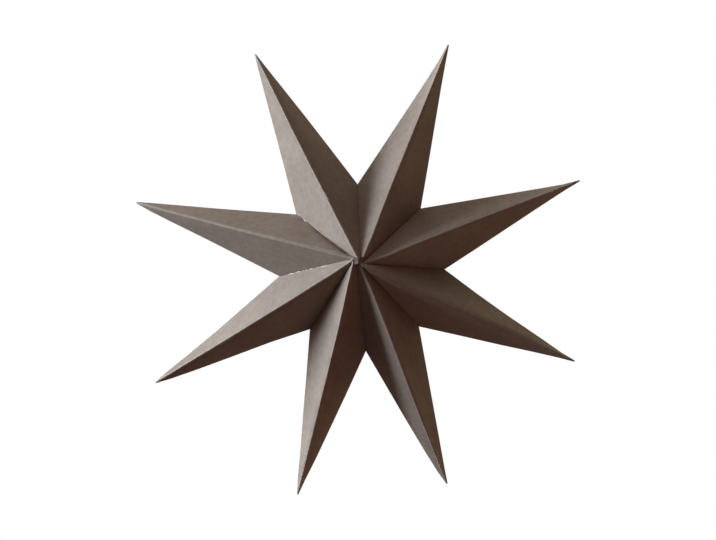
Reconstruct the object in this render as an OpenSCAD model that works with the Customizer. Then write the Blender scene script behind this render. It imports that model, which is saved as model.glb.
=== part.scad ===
// Hanging paper star: eight points folded from card, glued flap to flap round the star's axis.
// It is modelled as it hangs, front towards -Y and +Z up, with the origin at its top notch.

/* [Star] */
// Distance from the star's axis to the tip of a point of full reach
point_reach = 100; // [80:1:200]
// Distance from the star's axis to a notch of mean reach
notch_reach = 35.2; // [28:0.2:60]
// Height of the noses at the centre above the star's middle plane, on each side
half_depth = 25; // [18:0.5:40]
// Distance from the star's axis to the end of a nose of mean reach
hub_r = 2.8; // [2:0.1:6]

/* [Card] */
// Thickness of the card
card_t = 0.4; // [0.2:0.05:0.8]
// Inside radius of a crease
crease_inner_r = 0.1; // [0.1:0.05:0.6]
// Width of a glue flap
flap_w = 8; // [4:0.5:10]
// Depth of the dimple between the noses, where the flaps crowd together at the star's axis
dimple_depth = 1.2; // [0.8:0.1:4]

/* [Hidden] */
// The points, clockwise from the upper left one, seen from the front
NODES = [
    "upper_left_point", "upper_right_point", "right_upper_point", "right_lower_point",
    "lower_right_point", "lower_left_point", "left_lower_point", "left_upper_point"
];

// Bearings are degrees clockwise from straight up, seen from the front.
// The star has sagged as it hung, so its points stand wide apart above and close together below.
tip_bearings = [333.5, 22.4, 69.8, 114.7, 158.3, 194.8, 239.3, 284.9];
// Reach of each tip, as shares of point_reach
tip_reach_shares = [0.985, 0.997, 0.998, 1.007, 1.012, 1.02, 1.003, 0.978];
// A point's notch is the one on its clockwise side, where its seam with the next point ends
notch_bearings = [358.3, 48.7, 94.8, 136.9, 175.8, 216.2, 260.1, 307.3];
// Reach of each notch, as shares of notch_reach
notch_reach_shares = [0.95, 0.985, 1.036, 1.055, 1.071, 1.002, 0.986, 0.956];
// The noses were pushed aside clockwise as the last flaps were glued, so the ridges pass the axis on one side
nose_bearings = [339.7, 39.5, 94.3, 121.8, 170.8, 243.8, 287.6, 303.5];
// Reach of each nose, as shares of hub_r
nose_reach_shares = [0.437, 1.002, 1.004, 1.223, 0.569, 0.997, 0.955, 1.155];

card_color = "#7d7067";
// Faces round a crease's end, twice an odd number, so that a ball has corners on its equator
ball_facets = 14;
// How far a seam's creases are pressed flat against those of the next point
press = 0.02;
// Fall of a panel from its ridge to its seam at the noses, as a share of the way across
panel_fall = 1.26;

crease_r = crease_inner_r + card_t;
nose_height = half_depth - crease_r;
// Slope of a seam, from its notch up to the noses
seam_slope = atan2(half_depth, notch_reach);
// Open middle of the seams, which the glue flaps border
window_r = notch_reach * min(notch_reach_shares) - flap_w / sin(seam_slope);
window_h = half_depth - flap_w / cos(seam_slope);

// Numbers of the points before and after point i, clockwise
function before(i) = (i + len(NODES) - 1) % len(NODES);
function after(i) = (i + 1) % len(NODES);
// Place in the star's plane at a bearing and a reach from its axis
function place(bearing, reach) = reach * [sin(bearing), cos(bearing)];
function tip(i) = place(tip_bearings[i], point_reach * tip_reach_shares[i] - crease_r);
function notch(i) = place(notch_bearings[i], notch_reach * notch_reach_shares[i]);
function nose(i) = place(nose_bearings[i], hub_r * nose_reach_shares[i]);
// Inner end of the seam after point i, midway between two noses, and the height of its creases
function seam_end(i) = (nose(i) + nose(after(i))) / 2;
function seam_height(i) = nose_height - panel_fall * norm(nose(after(i)) - seam_end(i));

// A crease end of radius r at a place in the star's plane and a height above it
module crease_end(spot, height, r) {
    translate([spot[0], spot[1], height])
        sphere(r, $fn = ball_facets);
}

// The three crease ends of one glue flap: front, notch and back.
// side is 1 on a point's anticlockwise seam and -1 on its clockwise one. Each ball has a corner
// at the seam's plane, so that the flaps of two neighbours lie face to face.
module flap_corners(seam, side, r) {
    run = notch(seam) - seam_end(seam);
    translate(seam_end(seam))
        rotate(atan2(run[1], run[0]))
            translate([0, side * (press - crease_r), 0])
                for (corner = [[0, seam_height(seam)], [norm(run), 0], [0, -seam_height(seam)]])
                    translate([corner[0], 0, corner[1]])
                        rotate(90 * side)
                            sphere(r, $fn = ball_facets);
}

// Crease ends of point i, of radius r
module crease_ends(i, r) {
    flap_corners(before(i), 1, r);
    flap_corners(i, -1, r);
    crease_end(tip(i), 0, r);
    crease_end(nose(i), nose_height, r);
    crease_end(nose(i), -nose_height, r);
}

// Ends of the flaps, pressed together along the star's axis
module flap_root() {
    cylinder(h = 2 * (half_depth - dimple_depth), r = press, center = true, $fn = ball_facets);
}

// Room of point i between the planes of its two seams, from the star's axis outwards
module room(i) {
    far_before = seam_end(before(i)) + 5 * (notch(before(i)) - seam_end(before(i)));
    far_after = seam_end(i) + 5 * (notch(i) - seam_end(i));
    linear_extrude(height = 3 * half_depth, center = true)
        polygon([[0, 0], seam_end(before(i)), far_before, far_after, seam_end(i)]);
}

// Two cones base to base on the star's axis, which leave the flaps as strips along the seams
module seam_window() {
    for (back = [0, 1])
        mirror([0, 0, back])
            cylinder(h = window_h, r1 = window_r, r2 = 0, $fn = 64);
}

// Turns a shape from the star's own plane, with its axis along z, to the way that the star hangs
module hung() {
    rotate([90, 0, 0])
        translate(-notch(0))
            children();
}

// Point i: one sheet with a front and a back ridge, two outer edges and two pairs of glue flaps
module folded_point(i) {
    color(card_color)
        hung()
            difference() {
                intersection() {
                    hull() {
                        crease_ends(i, crease_r);
                        flap_root();
                    }
                    room(i);
                }
                hull() crease_ends(i, crease_inner_r);
                seam_window();
            }
}

for (i = [0 : len(NODES) - 1])
    folded_point(i);
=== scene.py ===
"""A hanging paper star: eight folded points of taupe card, with worn creases, a painted highlight along the
ridges, and two torn seams.
"""
import math
from types import SimpleNamespace

import bmesh
import bpy
import numpy as np
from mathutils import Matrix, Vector


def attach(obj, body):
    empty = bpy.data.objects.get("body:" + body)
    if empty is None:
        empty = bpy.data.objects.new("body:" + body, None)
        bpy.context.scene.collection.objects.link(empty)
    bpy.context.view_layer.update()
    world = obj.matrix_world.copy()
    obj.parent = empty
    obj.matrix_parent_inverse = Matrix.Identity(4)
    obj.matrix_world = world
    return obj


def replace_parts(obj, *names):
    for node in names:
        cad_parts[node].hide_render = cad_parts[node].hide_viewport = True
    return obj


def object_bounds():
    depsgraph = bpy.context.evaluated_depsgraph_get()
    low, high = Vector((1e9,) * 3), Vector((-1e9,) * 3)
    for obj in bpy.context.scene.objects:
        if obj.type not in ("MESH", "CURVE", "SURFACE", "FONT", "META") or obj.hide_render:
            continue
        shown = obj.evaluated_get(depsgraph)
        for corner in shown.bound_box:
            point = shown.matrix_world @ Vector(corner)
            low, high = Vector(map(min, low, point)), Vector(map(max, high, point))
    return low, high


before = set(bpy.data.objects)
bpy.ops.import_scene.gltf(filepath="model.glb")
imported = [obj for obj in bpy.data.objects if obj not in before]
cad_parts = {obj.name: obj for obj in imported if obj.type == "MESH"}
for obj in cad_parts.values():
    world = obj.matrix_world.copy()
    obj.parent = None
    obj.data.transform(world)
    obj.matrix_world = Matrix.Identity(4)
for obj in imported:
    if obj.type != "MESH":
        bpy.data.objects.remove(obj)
cad_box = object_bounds()

# Points of the star, clockwise from the upper left one, seen from the front
POINTS = [
    "upper_left_point", "upper_right_point", "right_upper_point", "right_lower_point",
    "lower_right_point", "lower_left_point", "left_lower_point", "left_upper_point",
]
# Panels of a point in their order round its sheet, two on its clockwise side and two on its other side
PANELS = range(4)
CLOCKWISE_FRONT, CLOCKWISE_BACK, OTHER_BACK, OTHER_FRONT = PANELS

# Directions, as the star is seen from the front. A place times IN_PLANE is its foot in the middle plane.
RIGHT = np.array((1.0, 0.0, 0.0))
FRONT = np.array((0.0, -1.0, 0.0))
UP = np.array((0.0, 0.0, 1.0))
IN_PLANE = np.array((1.0, 0.0, 1.0))

# Card, in metres
CREASE_R = 0.0005              # outside radius of a crease
TIP_CREASE_R = 0.00034         # the creases pinch to this radius at a tip
WELD = 0.000005                # corners of the frame nearer than this are one corner
MERGE = 0.00000005             # and corners of a piece nearer than this
SAME_WAY = 0.000001            # directions less than this many radians apart are one direction

# Steps of a sheet's grid, and how far its steps crowd towards the creases
NOSE_STEPS = 5
PANEL_STEPS = 52
CREASE_STEPS = 8
LENGTH_STEPS = 72
CAP_STEPS = 5
SEAM_STEPS = 6
FLAP_STEPS = 3
CROWDING = 0.13
# Steps along a small strip of card or glue, and sides round it
STRIP_STEPS = 24
STRIP_SIDES = 10

# Panels belly out of their planes in low waves: radians over the length and over the width, strength, and how
# strongly each wave takes the panel's own shift. The shift grows from point to point and from panel to panel.
PANEL_BOW = 0.0002
BOW_WAVES = [(2.1, 1.3, 1.0, 1.0), (5.2, -2.6, 0.5, 2.3)]
POINT_SHIFT = 1.7
PANEL_SHIFT = 2.9

# Soft ridges: how far a ridge sinks below the edge of its two panels, how far that fades into them, and the
# share of the length from the tip over which it sets in
RIDGE_SINK = 0.0006
SINK_FADE = 0.0013
SINK_START_SHARE = 0.3
# The ridges waver: distance clockwise from the straight line, at these shares of the length from the tip
WAVER_SHARES = (0, 0.2, 0.36, 0.53, 0.68, 0.81, 0.9, 1)
RIDGE_WAVERS = {
    "upper_left_point": (0, -0.0001, -0.0003, -0.0003, -0.0002, -0.0002, -0.0001, 0),
    "upper_right_point": (0, 0, -0.0001, -0.0001, -0.0002, 0, 0.0002, 0),
    "right_upper_point": (0, 0, 0, 0, 0.0001, 0.0003, 0.0007, 0),
    "right_lower_point": (0, 0, 0, 0.0001, 0.0004, 0.0004, 0.0004, 0),
    "lower_right_point": (0, 0, 0, -0.0003, -0.0007, -0.0008, -0.0008, 0),
    "lower_left_point": (0, -0.0001, -0.0003, -0.0004, -0.0005, -0.0003, -0.0001, 0),
    "left_lower_point": (0, -0.0001, -0.0003, -0.0003, -0.0004, -0.0003, -0.0003, 0),
    "left_upper_point": (0, -0.0003, -0.0003, -0.0004, -0.0002, -0.0001, -0.0001, 0),
}

# The outer edges bow: distance outwards from the straight line between tip and notch, at these shares of the
# length from the tip, first for a point's clockwise edge and then for the other one
EDGE_SHARES = (0, 0.1, 0.25, 0.5, 0.75, 1)
EDGE_BOWS = {
    "upper_left_point": (
        (0, 0, 0.0001, 0.0002, 0.0001, -0.0001), (0, 0, 0, -0.0002, -0.0003, -0.0003)),
    "upper_right_point": (
        (0, -0.0001, -0.0002, -0.0001, 0, 0), (0, -0.0006, -0.0008, -0.0008, -0.0008, -0.0007)),
    "right_upper_point": (
        (0, -0.0003, -0.0003, -0.0002, -0.0001, -0.0001), (0, -0.0006, -0.0006, -0.0005, -0.0004, -0.0003)),
    "right_lower_point": (
        (0, -0.0002, -0.0002, 0, 0, 0.0001), (0, -0.0005, -0.0005, -0.0008, -0.0007, -0.0002)),
    "lower_right_point": (
        (0, 0.0005, 0.0006, 0.0005, 0.0002, -0.0001), (0, -0.0001, -0.0001, -0.0001, -0.0001, -0.0001)),
    "lower_left_point": (
        (0, 0.0001, 0, 0, -0.0001, -0.0001), (0, 0, 0.0003, 0.0003, 0.0003, 0.0001)),
    "left_lower_point": (
        (0, 0, -0.0003, -0.0006, -0.0005, -0.0004), (0, 0.0003, 0.0003, 0, -0.0004, -0.0001)),
    "left_upper_point": (
        (0, 0, -0.0001, -0.0003, -0.0003, -0.0003), (0, 0.0003, 0.0002, -0.0001, -0.0002, -0.0003)),
}
# Noses that are pressed lower than the others
NOSE_SINKS = {"upper_right_point": 0.0008, "right_upper_point": 0.001, "lower_right_point": 0.0006}

# Paler creases: strength on the ridges and the outer edges, and how far it fades into a panel. On the outer
# edges it is worn card; on the ridges it is worn card and partly a painted highlight
RIDGE_WEAR_AND_HIGHLIGHT = 0.4
EDGE_WEAR = 0.15
WEAR_FADE = 0.0003
# Ridges that are painted paler than the others, for worn card and a painted highlight on their lit crests, as
# shares of the ridges' strength above
RIDGE_WEAR_AND_HIGHLIGHT_SHARES = {
    "left_upper_point": 2.5, "left_lower_point": 1.8, "upper_left_point": 1.6, "lower_right_point": 1.4,
    "right_upper_point": 1.4,
}

# Torn seam between the left upper and the upper left point. The upper left point's panel runs past its
# straight line into the left upper point: share of the seam from its notch, and distance past the line
TORN_SEAM = [
    (0, 0), (0.06, -0.0006), (0.09, -0.0005), (0.125, 0.0001), (0.15, 0.0004), (0.18, -0.0002),
    (0.22, -0.0002), (0.28, 0.0001), (0.38, 0.0003), (0.42, 0.0007), (0.47, 0.0005), (0.51, 0.0005),
    (0.56, 0.001), (0.59, 0.0006), (0.62, 0.0007), (0.71, 0.0012), (0.74, 0.0011), (0.77, 0.0012),
    (0.8, 0.0011), (0.91, 0.0009), (0.96, 0.0007), (1, 0),
]
TORN_FADE = 0.002              # how far from the seam its panels follow it
TORN_PANELS = [("upper_left_point", OTHER_FRONT), ("left_upper_point", CLOCKWISE_FRONT)]
# A rubbed lip stands on the torn edge
LIP_STEPS = 220
LIP_KNOTS = 40                 # places along the lip between which its edge runs straight
LIP_SEED = 8                   # of the random widths at those places
LIP_END_SHARES = (0.02, 0.95)  # of the seam, from its notch
LIP_WIDTH = 0.0007
LIP_RAGGED = 0.0002
LIP_OVERLAP = 0.00045          # how far the lip lies back on the panel
LIP_THICKNESS = 0.0003
LIP_BLUNTNESS = 6              # how many times faster than a half circle the lip widens at its ends
LIP_WEAR = 0.5
# Tufts on the lip: place as a share of the seam from its notch, and extra width
LIP_TUFTS = [(0.14, 0.0003), (0.42, 0.0003), (0.56, 0.0002), (0.71, 0.0002), (0.87, 0.0002)]
TUFT_LENGTH_SHARE = 0.016

# Torn seam between the left lower and the left upper point, with specks of dry glue and bare fibre. Start and
# end along the seam, as shares from its notch, and distance past the left lower point's shoulder
FLECKS = [
    (0.129, 0.233, -0.0001), (0.236, 0.293, 0.0), (0.325, 0.347, -0.0002), (0.367, 0.388, -0.0001),
    (0.417, 0.464, 0.0), (0.52, 0.545, 0.0), (0.559, 0.662, -0.0003), (0.605, 0.665, 0.0004),
]
FLECK_PANEL = ("left_lower_point", CLOCKWISE_FRONT)
FLECK_WIDTH = 0.00036
FLECK_THICKNESS = 0.00036
# A speck wanders aside in a wave: share of its width, radians over its length, and shift over a whole seam
FLECK_WANDER_SHARE = 0.25
FLECK_WANDER_TURN = 9
FLECK_WANDER_SHIFT = 40

# Scuffed place on a ridge, with bits of torn surface. Place along the ridge as a share from the tip, distance
# from the ridge towards the next point, length, and height above the card
SCUFFED_POINT = "upper_left_point"
SCUFFS = [
    (0.688, 0.0003, 0.0018, 0.0004), (0.706, 0.0004, 0.0022, 0.0005), (0.692, -0.0008, 0.0026, 0),
    (0.690, -0.0017, 0.0024, 0), (0.702, -0.0012, 0.0020, 0),
]
SCUFF_WIDTH = 0.0004
SCUFF_THICKNESS = 0.0003
SCUFF_SLANT = 0.2
SCUFF_WEAR = 0.9

# Ends of the noses, pressed over the dimple at the hub: start and end of each, to the right of the star's
# axis and above it, its width, and the depth of its middle below the noses' height
PINCHES = [
    ((-0.0033, 0.0012), (-0.0001, -0.0005), 0.0028, 0.00045),
    ((-0.0038, 0.0003), (-0.0022, 0.001), 0.0009, 0.0002),
    ((0.0002, -0.0003), (0.0021, -0.0021), 0.001, 0.001),
]
PINCH_THICKNESS = 0.0004
PINCH_LEAN = 0.27              # slope of the pinches down to the left
PINCH_WEAR = 0.7

# Card's look: linear colours, noise cells a metre, and the share of each noise in the tone
CARD_DARK = (0.229, 0.161, 0.125, 1)
CARD_PALE = (0.311, 0.219, 0.171, 1)
# Paler card of worn creases, lip, scuffs and pinches; along the ridges it is partly a painted highlight
CARD_WORN_AND_HIGHLIGHT = (0.46, 0.34, 0.275, 1)
CLOUD_SCALE = 60.0
MOTTLE_SCALE = 420.0
GRAIN_SCALE = 1500.0
CLOUD_SHARE = 0.35
MOTTLE_SHARE = 0.4
GRAIN_SHARE = 0.25
PATCHY_SHARE = 0.35            # share of the paler crease paint that comes and goes with the mottles
CARD_DETAIL = 2.0
CARD_ROUGHNESS = 0.58
GRAIN_ROUGHNESS = 0.08
WORN_ROUGHNESS = 0.1
TOOTH_SCALE = 3800.0
CARD_TOOTH = {"Strength": 0.3, "Distance": 0.00006}
# Look of bare fibre
FIBRE_DARK = (0.5, 0.4, 0.34, 1)
FIBRE_PALE = (0.8, 0.66, 0.57, 1)
FIBRE_SCALE = 1400.0
FIBRE_DETAIL = 3.0
FIBRE_ROUGHNESS = 0.75
TUFT_ROUGHNESS = 0.2
FIBRE_SPECULAR = 0.05
FIBRE_TOOTH = {"Strength": 0.5, "Distance": 0.0001}
NOISE_RANGE = (0.3, 0.7)       # most values of a noise lie between these
WHITE = (1, 1, 1, 1)

# Photograph and camera
PHOTO_SIZE = (716, 540)        # pixels
PHOTO_CENTRE = (359.0, 262.0)  # pixel of the star's axis
PHOTO_REACH = 235.4            # pixels from the axis to a tip of full reach
FULL_REACH_POINT = "right_upper_point"
CAMERA_DISTANCE = 1.2          # metres from the star's middle plane

# Lamps: bearing in degrees anticlockwise from the right, as seen from the front, height in degrees out of the
# star's plane towards the viewer, size in metres, power in watts and colour
LAMP_DISTANCE = 1.0
LAMPS = {
    "key": (167, 7, 0.4, 26.0, (0.62, 0.82, 1.0)),
    "fill": (105, 20, 0.8, 2.5, (0.78, 0.96, 1.0)),
    "bounce": (-55, 12, 0.8, 1.1, (1.0, 0.5, 0.38)),
}
# Dim light of the room before the star, and of the pale wall behind it
ROOM_LIGHT = (0.062, 0.0135, 0.008, 1)
WALL_LIGHT = (1.18, 1.26, 0.96, 1)
WALL_EDGE = (-0.1, 0.2)        # Y of the directions between which the room turns into the wall
FLOOR_DROP = 0.9               # metres from the lowest tip down to the floor
FLOOR_SIZE = 3.0
FLOOR_GREY = (0.12, 0.12, 0.12, 1)
FLOOR_GLOW = 0.85              # brightness of the floor that is only seen


def unit(v):
    """A vector, or an array of them, at length 1."""
    return v / np.linalg.norm(v, axis=-1, keepdims=True)


def turn(a, b, t):
    """Directions at share t of the way along the great circle from a to b."""
    angle = np.arccos(np.clip((a * b).sum(-1, keepdims=True), -1, 1))
    near = angle < SAME_WAY
    safe = np.where(near, 1, angle)
    swept = (np.sin((1 - t) * safe) * a + np.sin(t * safe) * b) / np.sin(safe)
    return unit(np.where(near, a, swept))


def clockwise(direction):
    """A direction in the star's plane, turned a quarter clockwise as seen from the front."""
    return np.array((direction[2], 0.0, -direction[0]))


def crowded(steps):
    """Shares from 0 to 1 in this many steps that crowd towards both ends by a sine."""
    share = np.linspace(0, 1, steps + 1)
    return share - CROWDING * np.sin(2 * np.pi * share)


def off_line(places, a, b):
    """Distance of each place from the straight line through a and b."""
    away = places - a
    along = unit(b - a)
    return np.linalg.norm(away - (away @ along)[:, None] * along, axis=1)


def after(k):
    """Number of the point after point k, clockwise."""
    return (k + 1) % len(POINTS)


def corners_of(node):
    """Corners of a solid of the frame, as an array of places."""
    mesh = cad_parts[node].data
    flat = np.empty(len(mesh.vertices) * 3)
    mesh.vertices.foreach_get("co", flat)
    return flat.reshape(-1, 3)


def shared_corners(a, b):
    """Those of the places a that lie at one of the places b."""
    return a[(np.abs(a[:, None] - b[None]).max(-1) < WELD).any(1)]


def from_axis(places):
    """Distance of each place from the star's axis, which runs along Y."""
    return np.hypot(places[:, 0] - axis_place[0], places[:, 2] - axis_place[2])


def straight_notch(k):
    """The notch after point k: the outermost corner that it shares with the next point."""
    seam = shared_corners(corners[k], corners[after(k)])
    return seam[from_axis(seam).argmax()] * IN_PLANE


def bowed_notch(k):
    """The notch after point k, moved to where its two bowed edges end: each sets how far it goes outwards."""
    straight = straight_notch(k)
    outwards = np.array([
        -clockwise(unit(straight - tips[k])), clockwise(unit(straight - tips[after(k)])), FRONT])
    ends = (EDGE_BOWS[POINTS[k]][0][-1], EDGE_BOWS[POINTS[after(k)]][1][-1], 0)
    return straight + np.linalg.solve(outwards, ends)


corners = [corners_of(name) for name in POINTS]
# Opposite points touch only at the two ends of the star's axis, in its dimples
axis_ends = shared_corners(corners[0], corners[len(POINTS) // 2])
axis_place = axis_ends.mean(0)
dimple_height = np.abs(axis_ends[:, 1]).max()
nose_height = max(-cad_box[0].y, cad_box[1].y)
tips = [c[from_axis(c).argmax()] for c in corners]
# The foremost corners of a point are at its nose
noses = [c[c[:, 1] < c[:, 1].min() + WELD].mean(0) * IN_PLANE for c in corners]
notches = [bowed_notch(k) for k in range(len(POINTS))]
# A seam's inner end is midway between two noses
seam_ends = [(noses[k] + noses[after(k)]) / 2 for k in range(len(POINTS))]


class Outline:
    """Crease ends of one point and the directions that its panels and flaps face.

    The inner side of a panel is a path from its nose past the inner end of its seam to its notch.
    """

    def __init__(self, k):
        self.along = unit(tips[k] - axis_place)
        self.sideways = clockwise(self.along)
        self.tip = tips[k] - TIP_CREASE_R * self.along
        rise = (nose_height - CREASE_R - NOSE_SINKS.get(POINTS[k], 0)) * FRONT
        self.paths, self.facing, self.flap_facing, self.outwards = [], [], [], []
        for j in PANELS:
            seam, side = (k, 1) if j in (CLOCKWISE_FRONT, CLOCKWISE_BACK) else (k - 1, -1)
            flap = side * clockwise(unit(notches[seam] - seam_ends[seam]))
            nose = noses[k] + (rise if j in (CLOCKWISE_FRONT, OTHER_FRONT) else -rise)
            notch = notches[seam] - CREASE_R * flap
            normal = unit(np.cross(notch - self.tip, nose - self.tip))
            normal = normal * np.sign(normal @ (nose - axis_place))
            # The seam's inner end is moved along the star's axis into the panel's plane
            inner = seam_ends[seam] - CREASE_R * flap
            inner = inner + FRONT * ((self.tip - inner) @ normal) / (FRONT @ normal)
            self.paths.append((nose, inner, notch))
            self.facing.append(normal)
            self.flap_facing.append(flap)
            self.outwards.append(-side * clockwise(unit(notch - self.tip)))
        # Directions that the front and the back ridge face, for each panel
        self.crests = [unit(a + b) for a, b in zip(self.facing, reversed(self.facing))]


def ridge_waver(k, length):
    """How far a ridge lies clockwise of its straight line: straight runs between the places of its table."""
    return np.interp(length, WAVER_SHARES, RIDGE_WAVERS[POINTS[k]])


def edge_bow(k, side, length):
    """How far an outer edge bows from the straight line between its tip and its moved notch."""
    bows = EDGE_BOWS[POINTS[k]][side]
    return np.interp(length, EDGE_SHARES, bows) - length * bows[-1]


def ridge_sink(gap, length):
    """How far a ridge sinks the card: it dies away exponentially with the gap, and sets in from the tip."""
    return RIDGE_SINK * np.exp(-gap / SINK_FADE) * np.minimum(1, length / SINK_START_SHARE)


def torn_aside(place):
    """How far the torn seam lies past its straight line: straight runs between the places of its table."""
    return np.interp(place, *zip(*TORN_SEAM))


def card_bow(length, width, shift):
    """Slow waver of a panel: low waves times parabolas that are 1 in its middle and 0 along its creases."""
    hold = 4 * width * (1 - width) * 4 * length * (1 - length)
    wave = sum(
        strength * np.sin(along * length + across * width + taken * shift)
        for along, across, strength, taken in BOW_WAVES)
    return PANEL_BOW * hold * wave


def over_columns(directions, j, fold, count):
    """Directions round the crease before panel j, from the panel before it on, and then over panel j."""
    return np.concatenate([turn(directions[j - 1], directions[j], fold), np.tile(directions[j], (count, 1))])


def sheet_columns(k, shape):
    """What holds for each column of a point's grid, as arrays over its columns.

    Columns go round the sheet: four creases, where the facing turns from one panel to the next, and four
    panels between them. The width is the share of the way from the ridge to the outer edge.
    """
    fold = np.linspace(0, 1, CREASE_STEPS + 1)[:, None]
    nose_share = np.linspace(0, 1, NOSE_STEPS + 1)[1:, None]
    seam_share = crowded(PANEL_STEPS)[1:-1, None]
    panels = []
    for j in PANELS:
        nose, inner, notch = shape.paths[j]
        path = np.concatenate([nose + (inner - nose) * nose_share, inner + (notch - inner) * seam_share])
        across = np.concatenate([0 * nose_share, seam_share])
        crease_end = nose
        # Every other panel runs from its outer edge back to its ridge
        if j % 2:
            path, across, crease_end = path[::-1], across[::-1], notch
        base = np.concatenate([np.tile(crease_end, (len(fold), 1)), path])
        width = np.concatenate([0 * fold + j % 2, across])[:, 0]
        panels.append({
            "base": base,
            "width": width,
            "facing": over_columns(shape.facing, j, fold, len(path)),
            "flap_facing": over_columns(shape.flap_facing, j, fold, len(path)),
            "crest": np.tile(shape.crests[j], (len(base), 1)),
            "outwards": np.tile(shape.outwards[j], (len(base), 1)),
            "side": np.full(len(base), j // 2),
            "shift": np.full(len(base), POINT_SHIFT * k + PANEL_SHIFT * j),
            "torn": torn_aside(1 - width) * ((POINTS[k], j) in TORN_PANELS),
            "ridge_gap": off_line(base, shape.tip, nose),
            "edge_gap": off_line(base, shape.tip, notch),
        })
    return SimpleNamespace(**{
        name: np.concatenate([panel[name] for panel in panels]) for name in panels[0]})


def folded_sheet(k):
    """Grid of one point's skin, from its tip to the star's axis, and how much paler it is painted at each
    place.

    Rows go from the tip's round end down the panels, as straight lines from the tip's crease end to those at
    the seams, then round the seam creases to the flaps, and along the flaps to the axis. Every row stands off
    the crease ends by the crease's radius in the direction that its column faces. Along the torn seam the
    rows move aside with it, by a distance that dies away exponentially from the seam. The paler paint is a
    bell curve of the distance from the nearest ridge or outer edge: worn card on both, and on the ridges
    partly a painted highlight.
    """
    shape = Outline(k)
    columns = sheet_columns(k, shape)
    base, width, facing, crest = columns.base, columns.width, columns.facing, columns.crest
    length = crowded(LENGTH_STEPS)[:, None]
    ridge_gap = columns.ridge_gap * length
    edge_gap = columns.edge_gap * length
    torn = columns.torn[:, None] * shoulder(*TORN_PANELS[0])[2]

    cap_share = np.linspace(1, 0, CAP_STEPS, endpoint=False)[:, None, None]
    cap = shape.tip + TIP_CREASE_R * turn(facing, shape.along, cap_share)

    lift = TIP_CREASE_R + (CREASE_R - TIP_CREASE_R) * length + card_bow(length, width, columns.shift)
    sink = ridge_sink(ridge_gap, length)
    waver = ridge_waver(k, length) * (1 - width)
    bow = np.where(columns.side == 0, edge_bow(k, 0, length), edge_bow(k, 1, length)) * width
    from_seam = (1 - length) * np.linalg.norm(base - shape.tip, axis=1)
    panels = shape.tip + (base - shape.tip) * length[:, :, None] + lift[:, :, None] * facing
    panels = panels - sink[:, :, None] * crest + waver[:, :, None] * shape.sideways
    panels = panels + bow[:, :, None] * columns.outwards + np.exp(-from_seam / TORN_FADE)[:, :, None] * torn

    fold_share = np.linspace(0, 1, SEAM_STEPS + 1)[1:, None, None]
    seams = base + CREASE_R * turn(facing, columns.flap_facing, fold_share) - sink[-1][:, None] * crest + torn

    root = np.tile(axis_place, (len(base), 1))
    root[:, 1] = dimple_height * np.sign(base[:, 1]) * (1 - width)
    flap_share = np.linspace(0, 1, FLAP_STEPS + 1)[1:, None, None]
    flaps = seams[-1] + (root - seams[-1]) * flap_share

    # Paler paint: worn card and partly a painted highlight along the ridges, worn card along the outer edges
    ridge_wear_and_highlight = RIDGE_WEAR_AND_HIGHLIGHT * RIDGE_WEAR_AND_HIGHLIGHT_SHARES.get(POINTS[k], 1)
    rubbed_and_highlit = ridge_wear_and_highlight * np.exp(-(ridge_gap / WEAR_FADE) ** 2)
    rubbed_and_highlit = np.maximum(rubbed_and_highlit, EDGE_WEAR * np.exp(-(edge_gap / WEAR_FADE) ** 2))
    wear_and_highlight = np.concatenate([
        np.repeat(rubbed_and_highlit[:1], len(cap), axis=0), rubbed_and_highlit,
        np.repeat(rubbed_and_highlit[-1:], len(seams), axis=0), np.zeros(flaps.shape[:2]),
    ])
    return np.concatenate([cap, panels, seams, flaps]), wear_and_highlight


def strip(path, across, outwards, width, thickness):
    """Grid of a closed lens: an ellipse of this width and thickness, carried along the path."""
    angle = np.linspace(0, 2 * np.pi, STRIP_SIDES, endpoint=False)[None, :, None]
    sideways = 0.5 * width[:, None, None] * np.cos(angle) * across
    upwards = 0.5 * thickness[:, None, None] * np.sin(angle) * outwards
    return path[:, None] + sideways + upwards


def tapered(steps):
    """Shares along a strip, and a half-circle profile over them that is nought at both ends."""
    share = np.linspace(0, 1, steps)
    return share, np.sqrt(np.clip(1 - (2 * share - 1) ** 2, 0, None))


def shoulder(name, j):
    """Line where panel j of a point turns into its seam: its notch end, its inner end and two directions.

    The first direction lies in the panel and points into the seam, and the second is the panel's own facing.
    """
    shape = Outline(POINTS.index(name))
    facing = shape.facing[j]
    inner, notch = (place + CREASE_R * facing for place in shape.paths[j][1:])
    inwards = unit(np.cross(facing, inner - notch))
    return notch, inner, inwards * np.sign(inwards @ (notch - shape.tip)), facing


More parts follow.
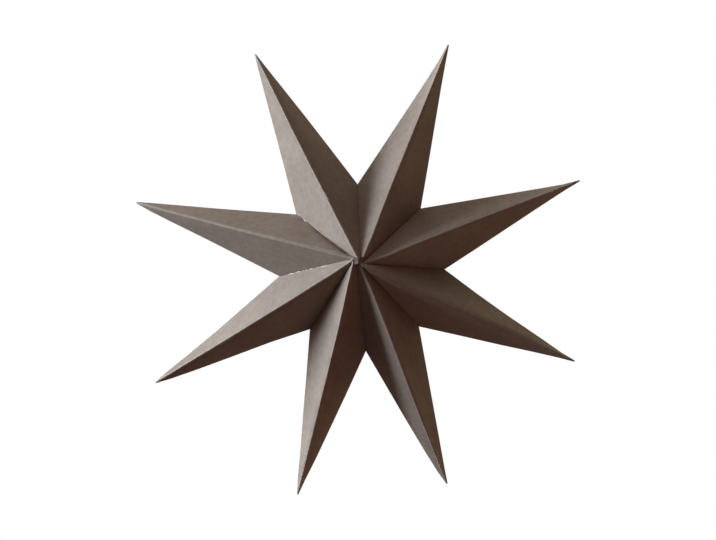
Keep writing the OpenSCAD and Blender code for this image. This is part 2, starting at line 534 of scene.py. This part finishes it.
def torn_lip():
    """Grid of the lip along the torn seam, a flat strip on the edge of its panel, and how worn it is.

    Its width is a mean width, plus straight runs between random places, plus a bell curve for each tuft. The
    lip is most worn on the tufts.
    """
    notch_end, inner_end, inwards, facing = shoulder(*TORN_PANELS[0])
    share, profile = tapered(LIP_STEPS)
    place = LIP_END_SHARES[0] + (LIP_END_SHARES[1] - LIP_END_SHARES[0]) * share
    draw = np.random.default_rng(LIP_SEED)
    knots = np.linspace(0, 1, LIP_KNOTS)
    width = LIP_WIDTH + LIP_RAGGED * np.interp(share, knots, draw.uniform(-1, 1, LIP_KNOTS))
    wear_and_highlight = np.full(LIP_STEPS, LIP_WEAR)
    for middle, extra in LIP_TUFTS:
        bell = np.exp(-((place - middle) / TUFT_LENGTH_SHARE) ** 2)
        width += extra * bell
        wear_and_highlight += bell
    ends = np.minimum(1, LIP_BLUNTNESS * profile)
    width = width * ends
    # The lip is bent up from the seam, half way towards the star's own plane
    flat = unit(inwards * IN_PLANE)
    across = unit(inwards + flat)
    path = notch_end + (inner_end - notch_end) * place[:, None] + inwards * torn_aside(place)[:, None]
    path = path + across * (0.5 * width - LIP_OVERLAP)[:, None]
    lip = strip(path, across, unit(facing + FRONT), width, LIP_THICKNESS * ends)
    return lip, np.repeat(wear_and_highlight, STRIP_SIDES)


def glue_flecks():
    """Grids of the specks along the other torn seam: short lenses that stand on the panel's shoulder."""
    notch_end, inner_end, inwards, facing = shoulder(*FLECK_PANEL)
    share, profile = tapered(STRIP_STEPS)
    grids = []
    for start, stop, offset in FLECKS:
        place = start + (stop - start) * share
        wave = np.sin(FLECK_WANDER_TURN * share + FLECK_WANDER_SHIFT * start)
        aside = offset + FLECK_WANDER_SHARE * FLECK_WIDTH * wave
        path = notch_end + (inner_end - notch_end) * place[:, None] + inwards * aside[:, None]
        grids.append(strip(path, inwards, facing, FLECK_WIDTH * profile, FLECK_THICKNESS * profile))
    return grids


def ridge_scuffs():
    """Grids of the torn bits on the scuffed ridge: short lenses that lie slantwise over its crease."""
    k = POINTS.index(SCUFFED_POINT)
    shape = Outline(k)
    panel_facing = shape.facing[CLOCKWISE_FRONT]
    facing = turn(shape.facing[OTHER_FRONT], panel_facing, 0.5)
    top = shape.tip + TIP_CREASE_R * facing
    foot = shape.paths[CLOCKWISE_FRONT][0] + CREASE_R * facing
    along = unit(foot - top)
    across = unit(np.cross(along, facing))
    across = across * np.sign(across @ (notches[k] - top))
    slope = panel_facing @ across
    share, profile = tapered(STRIP_STEPS)
    grids = []
    for place, offset, length, height in SCUFFS:
        run = (share - 0.5) * length
        sideways = offset + SCUFF_SLANT * run
        gap = np.abs(sideways) / (panel_facing @ facing)
        fall = gap * slope + ridge_sink(gap, place) - height
        path = top + (foot - top) * place + along * run[:, None]
        path = path + across * (sideways + ridge_waver(k, place))[:, None]
        path = path - facing * fall[:, None]
        grids.append(strip(path, across, facing, SCUFF_WIDTH * profile, SCUFF_THICKNESS * profile))
    return grids


def nose_pinches():
    """Grids of the pressed ends of the noses: short lenses over the dimple that lean down to the left."""
    share, profile = tapered(STRIP_STEPS)
    outwards = unit(FRONT - PINCH_LEAN * RIGHT)
    grids = []
    for start, stop, width, depth in PINCHES:
        start, stop = (right * RIGHT + up * UP for right, up in (start, stop))
        middle = axis_place + (nose_height - depth) * FRONT + (start + stop) / 2
        run = stop - start
        run = run - (run @ outwards) * outwards
        path = middle + (share - 0.5)[:, None] * run
        across = unit(np.cross(outwards, run))
        grids.append(strip(path, across, outwards, width * profile, PINCH_THICKNESS * profile))
    return grids


def mesh_piece(name, grids, material, wear_and_highlight=0.0):
    """Piece made of grids whose columns close on themselves, doubled corners merged and faces outwards."""
    places, faces, first = [], [], 0
    for grid in grids:
        rows, columns = grid.shape[:2]
        r, c = np.meshgrid(np.arange(rows - 1), np.arange(columns), indexing="ij")
        right = (c + 1) % columns
        corner = [r * columns + c, (r + 1) * columns + c, (r + 1) * columns + right, r * columns + right]
        faces.append(first + np.stack(corner, -1).reshape(-1, 4))
        places.append(grid.reshape(-1, 3))
        first += rows * columns
    mesh = bpy.data.meshes.new(name)
    mesh.from_pydata(np.concatenate(places), [], np.concatenate(faces).tolist())
    wear_and_highlight = np.zeros(first) + np.ravel(wear_and_highlight)
    mesh.attributes.new("wear_and_highlight", "FLOAT", "POINT").data.foreach_set("value", wear_and_highlight)
    work = bmesh.new()
    work.from_mesh(mesh)
    bmesh.ops.remove_doubles(work, verts=work.verts, dist=MERGE)
    bmesh.ops.recalc_face_normals(work, faces=work.faces)
    work.to_mesh(mesh)
    work.free()
    mesh.polygons.foreach_set("use_smooth", np.ones(len(mesh.polygons), bool))
    mesh.materials.append(material)
    piece = bpy.data.objects.new(name, mesh)
    bpy.context.scene.collection.objects.link(piece)
    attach(piece, "root")
    return piece


class Socket:
    """Output of a shader node. Sums, differences and products of it add Math nodes to its tree."""

    def __init__(self, tree, output=None):
        self.tree = tree
        self.output = output

    def feed(self, made, sockets):
        """Sets or links these sockets of a node."""
        for name, value in sockets.items():
            if isinstance(value, Socket):
                self.tree.links.new(value.output, made.inputs[name])
            else:
                made.inputs[name].default_value = value

    def node(self, kind, settings, sockets, output=0):
        """Output of a new node: its settings are made first, then its sockets are set or linked."""
        made = self.tree.nodes.new(kind)
        for name, value in settings.items():
            setattr(made, name, value)
        self.feed(made, sockets)
        return Socket(self.tree, made.outputs[output])

    def math(self, operation, a, b):
        """Result of a Math node."""
        return self.node("ShaderNodeMath", {"operation": operation}, {0: a, 1: b})

    def __add__(self, other):
        return self.math("ADD", self, other)

    def __sub__(self, other):
        return self.math("SUBTRACT", self, other)

    def __rsub__(self, other):
        return self.math("SUBTRACT", other, self)

    def __mul__(self, other):
        return self.math("MULTIPLY", self, other)

    __radd__ = __add__
    __rmul__ = __mul__

    def noise(self, place, scale, detail):
        """Noise of this many cells a metre."""
        return self.node("ShaderNodeTexNoise", {}, {"Vector": place, "Scale": scale, "Detail": detail})

    def mixed(self, a, b):
        """Colour between a and b, by this value."""
        return self.node("ShaderNodeMix", {"data_type": "RGBA"}, {0: self, 6: a, 7: b}, 2)

    def spread(self, low, high):
        """This value, stretched so that low becomes 0 and high becomes 1, with soft ends."""
        return self.node("ShaderNodeMapRange", {"interpolation_type": "SMOOTHSTEP"},
                         {"Value": self, "From Min": low, "From Max": high})

    def bump(self, tooth, height):
        """Normal of a surface with this tooth, by its height."""
        return self.node("ShaderNodeBump", {}, {**tooth, "Height": height})


def new_material(name):
    """A material, the start of its node tree and its shader."""
    material = bpy.data.materials.new(name)
    material.use_nodes = True
    return material, Socket(material.node_tree), material.node_tree.nodes["Principled BSDF"]


def card_finish():
    """Taupe card: cloudy, mottled and fibrous, without gloss, and paler along the creases where it is worn;
    along the ridges that paler paint is partly a painted highlight.
    """
    material, start, shader = new_material("card")
    place = start.node("ShaderNodeTexCoord", {}, {}, "Object")
    cloud, mottle, grain = (
        start.noise(place, scale, CARD_DETAIL).spread(*NOISE_RANGE)
        for scale in (CLOUD_SCALE, MOTTLE_SCALE, GRAIN_SCALE))
    wear_and_highlight = start.node("ShaderNodeAttribute", {"attribute_name": "wear_and_highlight"}, {}, "Fac")
    tone = CLOUD_SHARE * cloud + MOTTLE_SHARE * mottle + GRAIN_SHARE * grain
    rubbed_and_highlit = wear_and_highlight * (1 - PATCHY_SHARE * (1 - mottle))
    start.feed(shader, {
        "Base Color": rubbed_and_highlit.mixed(tone.mixed(CARD_DARK, CARD_PALE), CARD_WORN_AND_HIGHLIGHT),
        "Roughness": CARD_ROUGHNESS + GRAIN_ROUGHNESS * grain + WORN_ROUGHNESS * rubbed_and_highlit,
        "Specular IOR Level": 0.0,
        "Normal": start.bump(CARD_TOOTH, start.noise(place, TOOTH_SCALE, CARD_DETAIL)),
    })
    return material


def fibre_finish():
    """Bare torn fibre: pale, uneven and dull."""
    material, start, shader = new_material("torn_fibre")
    place = start.node("ShaderNodeTexCoord", {}, {}, "Object")
    tuft = start.noise(place, FIBRE_SCALE, FIBRE_DETAIL)
    start.feed(shader, {
        "Base Color": tuft.spread(*NOISE_RANGE).mixed(FIBRE_DARK, FIBRE_PALE),
        "Roughness": FIBRE_ROUGHNESS + TUFT_ROUGHNESS * tuft,
        "Specular IOR Level": FIBRE_SPECULAR,
        "Normal": start.bump(FIBRE_TOOTH, tuft),
    })
    return material


def seen_rays(start):
    """1 for rays of the camera, also by reflection or through glass, and 0 for those that light the star."""
    camera, glossy, through = (
        start.node("ShaderNodeLightPath", {}, {}, ray)
        for ray in ("Is Camera Ray", "Is Glossy Ray", "Is Transmission Ray"))
    return start.math("MINIMUM", camera + glossy + through, 1.0)


def lay_floor():
    """Pale floor well below the star. Most of its brightness is only seen, and hardly lights the star."""
    half = FLOOR_SIZE / 2
    low = cad_box[0].z - FLOOR_DROP
    mesh = bpy.data.meshes.new("floor")
    square = [(-half, -half, low), (half, -half, low), (half, half, low), (-half, half, low)]
    mesh.from_pydata(square, [], [(0, 1, 2, 3)])
    material, start, shader = new_material("floor")
    glow = FLOOR_GLOW * seen_rays(start)
    start.feed(shader, {"Base Color": FLOOR_GREY, "Emission Color": glow, "Emission Strength": 1.0})
    mesh.materials.append(material)
    floor = bpy.data.objects.new("floor", mesh)
    bpy.context.scene.collection.objects.link(floor)


def light_world():
    """World that is seen white, and that lights the star as a dim room with a pale wall behind it."""
    world = bpy.data.worlds.new("studio")
    world.use_nodes = True
    bpy.context.scene.world = world
    start = Socket(world.node_tree)
    room, wall, white = (
        start.node("ShaderNodeBackground", {}, {"Color": colour, "Strength": 1.0})
        for colour in (ROOM_LIGHT, WALL_LIGHT, WHITE))
    direction = start.node("ShaderNodeTexCoord", {}, {}, "Generated")
    behind = start.node("ShaderNodeSeparateXYZ", {}, {0: direction}, "Y").spread(*WALL_EDGE)
    light = start.node("ShaderNodeMixShader", {}, {0: behind, 1: room, 2: wall})
    surface = start.node("ShaderNodeMixShader", {}, {0: seen_rays(start), 1: light, 2: white})
    start.feed(world.node_tree.nodes["World Output"], {"Surface": surface})


def hang_lamp(name, bearing, height, size, power, colour):
    """Square lamp that faces the middle of the star."""
    bearing, height = math.radians(bearing), math.radians(height)
    flat = math.cos(height)
    towards = Vector((math.cos(bearing) * flat, -math.sin(height), math.sin(bearing) * flat))
    light = bpy.data.lights.new(name, "AREA")
    light.size = size
    light.energy = power
    light.color = colour
    lamp = bpy.data.objects.new(name, light)
    lamp.location = Vector(axis_place) + towards * LAMP_DISTANCE
    lamp.rotation_euler = towards.to_track_quat("Z", "Y").to_euler()
    bpy.context.scene.collection.objects.link(lamp)


def place_camera():
    """Camera straight in front of the star, with the star's axis at its pixel of the photograph."""
    metres_per_pixel = from_axis(tips[POINTS.index(FULL_REACH_POINT)][None])[0] / PHOTO_REACH
    right = (PHOTO_SIZE[0] / 2 - PHOTO_CENTRE[0]) * metres_per_pixel
    up = (PHOTO_CENTRE[1] - PHOTO_SIZE[1] / 2) * metres_per_pixel
    camera = bpy.data.objects.new("camera", bpy.data.cameras.new("camera"))
    camera.location = (axis_place[0] + right, -CAMERA_DISTANCE, axis_place[2] + up)
    camera.rotation_euler = (math.pi / 2, 0, 0)
    camera.data.lens = camera.data.sensor_width * CAMERA_DISTANCE / (PHOTO_SIZE[0] * metres_per_pixel)
    bpy.context.scene.collection.objects.link(camera)
    bpy.context.scene.camera = camera


place_camera()
card = card_finish()
for k, name in enumerate(POINTS):
    sheet, wear_and_highlight = folded_sheet(k)
    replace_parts(mesh_piece(name.replace("point", "sheet"), [sheet], card, wear_and_highlight), name)
fibre = fibre_finish()
lip, wear_and_highlight = torn_lip()
mesh_piece("torn_seam_lip", [lip], card, wear_and_highlight)
mesh_piece("seam_glue_flecks", glue_flecks(), fibre)
mesh_piece("nose_pinches", nose_pinches(), card, PINCH_WEAR)
mesh_piece("ridge_scuffs", ridge_scuffs(), card, SCUFF_WEAR)
lay_floor()
light_world()
for name, lamp in LAMPS.items():
    hang_lamp(name, *lamp)
bpy.context.scene.view_settings.view_transform = "Standard"
